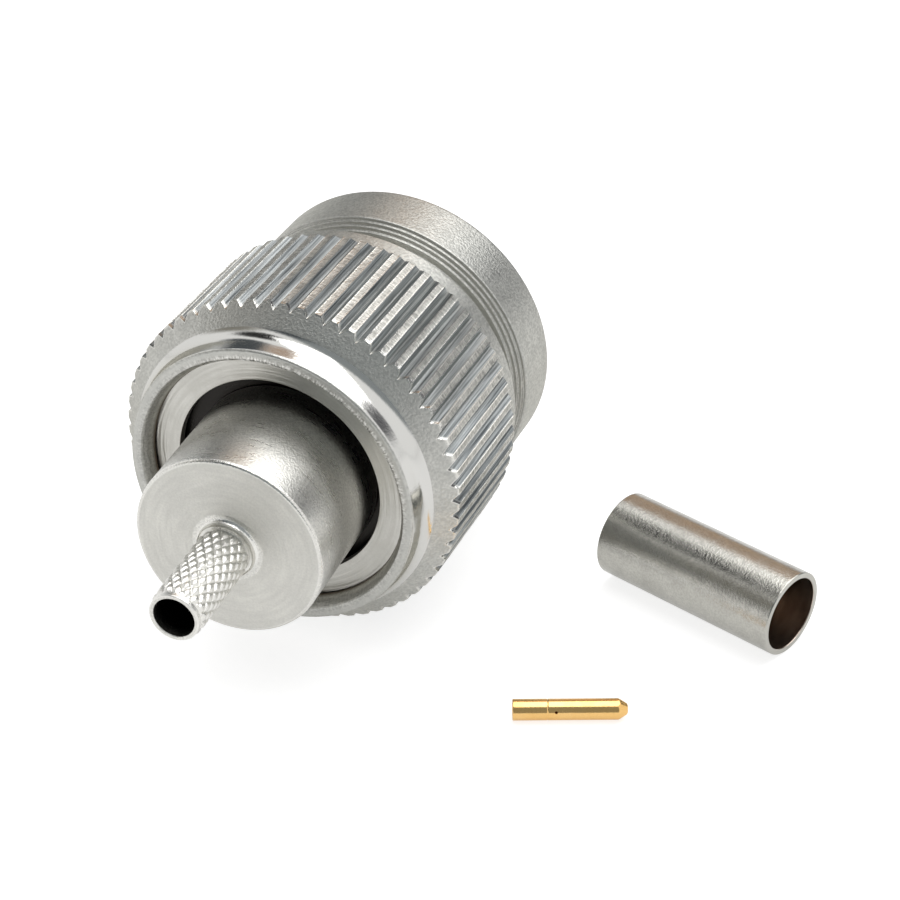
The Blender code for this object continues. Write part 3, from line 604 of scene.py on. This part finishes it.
pin = piece("contact_pin_turned", points, faces, gold, "plug", "gold", "contact_pin")
HOLE_STATION, HOLE_RADIUS, DRILL_LENGTH, DRILL_COLUMNS = 1.72, 0.06, 0.9, 32
hole_turn = math.radians(69)
hole_out = math.cos(hole_turn) * pin_axis["up"] + math.sin(hole_turn) * pin_axis["side"]
hole_side = np.cross(hole_out, pin_axis["along"])
ring = np.linspace(0.0, 2 * np.pi, DRILL_COLUMNS, endpoint=False)
circle = np.cos(ring)[:, None] * pin_axis["along"] + np.sin(ring)[:, None] * hole_side
circle = pin_axis["at"] + HOLE_STATION * MM * pin_axis["along"] + HOLE_RADIUS * MM * circle
drill = bpy.data.meshes.new("drill")
drill.from_pydata(np.concatenate([circle, circle + DRILL_LENGTH * MM * hole_out]), [], [
    *grid_faces(2, DRILL_COLUMNS, False).tolist(),
    list(range(DRILL_COLUMNS))[::-1], list(range(DRILL_COLUMNS, 2 * DRILL_COLUMNS)),
])
drill_tool = bpy.data.objects.new("drill", drill)
bpy.context.scene.collection.objects.link(drill_tool)
cut = pin.modifiers.new("inspection_hole", "BOOLEAN")
cut.operation, cut.solver, cut.object = "DIFFERENCE", "EXACT", drill_tool
bpy.context.view_layer.update()
drilled = bpy.data.meshes.new_from_object(pin.evaluated_get(bpy.context.evaluated_depsgraph_get()))
pin.modifiers.clear()
pin.data = drilled
drilled.set_sharp_from_angle(angle=math.radians(35))
bpy.data.objects.remove(drill_tool)

# Studio. A pale floor under a broad overhead lamp and a softer one at the upper left, in a pale room. The
# darker fields stand where the plated metal mirrors the unlit parts of that room.
scene = bpy.context.scene
scene.view_settings.view_transform = "Standard"
floor_mesh = bpy.data.meshes.new("floor")
floor_mesh.from_pydata([(-2, -2, 0), (2, -2, 0), (2, 2, 0), (-2, 2, 0)], [], [(0, 1, 2, 3)])
floor = bpy.data.objects.new("floor", floor_mesh)
scene.collection.objects.link(floor)
floor_material = bpy.data.materials.new("studio_floor")
floor_material.use_nodes = True
tree = floor_material.node_tree
tree.nodes.clear()
rays = put(tree, "ShaderNodeLightPath").outputs
matt = put(tree, "ShaderNodeBsdfDiffuse", (0.55, 0.55, 0.55, 1.0))
glow = sums(tree, "MULTIPLY", rays["Is Camera Ray"], 0.74)
glow = sums(tree, "ADD", glow, sums(tree, "MULTIPLY", rays["Is Glossy Ray"], 0.50))
lift = put(tree, "ShaderNodeEmission", (1.0, 1.0, 1.0, 1.0), glow)
both = put(tree, "ShaderNodeAddShader", matt.outputs[0], lift.outputs[0])
put(tree, "ShaderNodeOutputMaterial", both.outputs[0])
floor_mesh.materials.append(floor_material)

room = bpy.data.worlds.new("studio_room")
scene.world = room
room.use_nodes = True
tree = room.node_tree
tree.nodes.clear()
way = put(tree, "ShaderNodeTexCoord").outputs["Generated"]
rays = put(tree, "ShaderNodeLightPath").outputs
seen = sums(tree, "MAXIMUM", rays["Is Glossy Ray"], rays["Is Transmission Ray"])
seen = sums(tree, "MAXIMUM", rays["Is Camera Ray"], seen)
colour = (1.0, 1.0, 1.0)
fields = [    # the way to its middle, the angles where it is full and where it ends, and its colour
    ((0.25, 0.96, 0.04), 26.0, 34.0, (0.34, 0.37, 0.39)),
    ((-0.55, 0.80, 0.00), 12.0, 22.0, (0.38, 0.40, 0.41)),
    ((-0.56, 0.66, 0.50), 8.0, 17.0, (0.08, 0.09, 0.10)),
    ((0.58, 0.76, 0.30), 9.0, 16.0, (0.08, 0.08, 0.09)),
    ((0.16, -0.86, 0.42), 38.0, 47.0, (0.30, 0.325, 0.335)),
    ((-0.33, -0.71, 0.62), 10.0, 18.0, (0.06, 0.07, 0.08)),
    ((-0.52, -0.79, 0.33), 5.0, 13.0, (0.08, 0.09, 0.10)),
    ((-0.52, 0.00, 0.85), 12.0, 20.0, (0.03, 0.03, 0.03)),
    ((-0.72, -0.45, 0.52), 8.0, 20.0, (0.28, 0.27, 0.24)),
    ((-0.22, 0.77, 0.60), 9.0, 15.0, (0.50, 0.36, 0.26)),
    ((-0.17, 0.94, 0.28), 8.0, 14.0, (0.58, 0.42, 0.30)),
]
for centre, inside, outside, dark in fields:
    centre = Vector(centre).normalized()
    toward = put(tree, "ShaderNodeVectorMath", way, tuple(centre), operation="DOT_PRODUCT").outputs["Value"]
    mask = ramp(tree, toward, math.cos(math.radians(outside)), math.cos(math.radians(inside)))
    mask = sums(tree, "MULTIPLY", mask, rays["Is Glossy Ray"])
    colour = tint(tree, mask, colour, dark)
level = ramp(tree, seen, 0.0, 1.0, 0.45, 1.0)
light = put(tree, "ShaderNodeBackground", colour, level)
put(tree, "ShaderNodeOutputWorld", light.outputs[0])


def softbox(name, direction, distance, width, height, level):
    """A rectangular lamp facing the object. Its power is level * pi * area, so level is its brightness."""
    data = bpy.data.lights.new(name, "AREA")
    data.shape, data.size, data.size_y = "RECTANGLE", width, height
    data.energy = level * math.pi * width * height
    lamp = bpy.data.objects.new(name, data)
    scene.collection.objects.link(lamp)
    way = Vector(direction).normalized()
    lamp.location = way * distance
    lamp.rotation_euler = way.to_track_quat("Z", "Y").to_euler()
    lamp.visible_camera = False
    return lamp


softbox("overhead", (0.13, 0.30, 0.95), distance=0.35, width=0.31, height=0.50, level=1.7)
side_lamp = softbox("upper_left", (-0.62, 0.40, 0.68), distance=0.45, width=0.20, height=0.20, level=3.0)
side_lamp.visible_glossy = False

# Camera. Placed where the photograph was taken from: 23 degrees to the right and 33 degrees above.
AZIMUTH, ELEVATION = math.radians(22.88), math.radians(33.24)
lens = bpy.data.cameras.new("camera")
lens.lens, lens.sensor_width = 100.0, 36.0
lens.clip_start, lens.clip_end = 0.005, 20.0
camera = bpy.data.objects.new("camera", lens)
scene.collection.objects.link(camera)
level_back = math.cos(ELEVATION)
backward = Vector((math.sin(AZIMUTH) * level_back, -math.cos(AZIMUTH) * level_back, math.sin(ELEVATION)))
right = Vector((math.cos(AZIMUTH), math.sin(AZIMUTH), 0.0))
turned = Matrix((right, backward.cross(right), backward)).transposed().to_4x4()
camera.matrix_world = Matrix.Translation((0.032143, -0.075203, 0.06314)) @ turned
scene.camera = camera
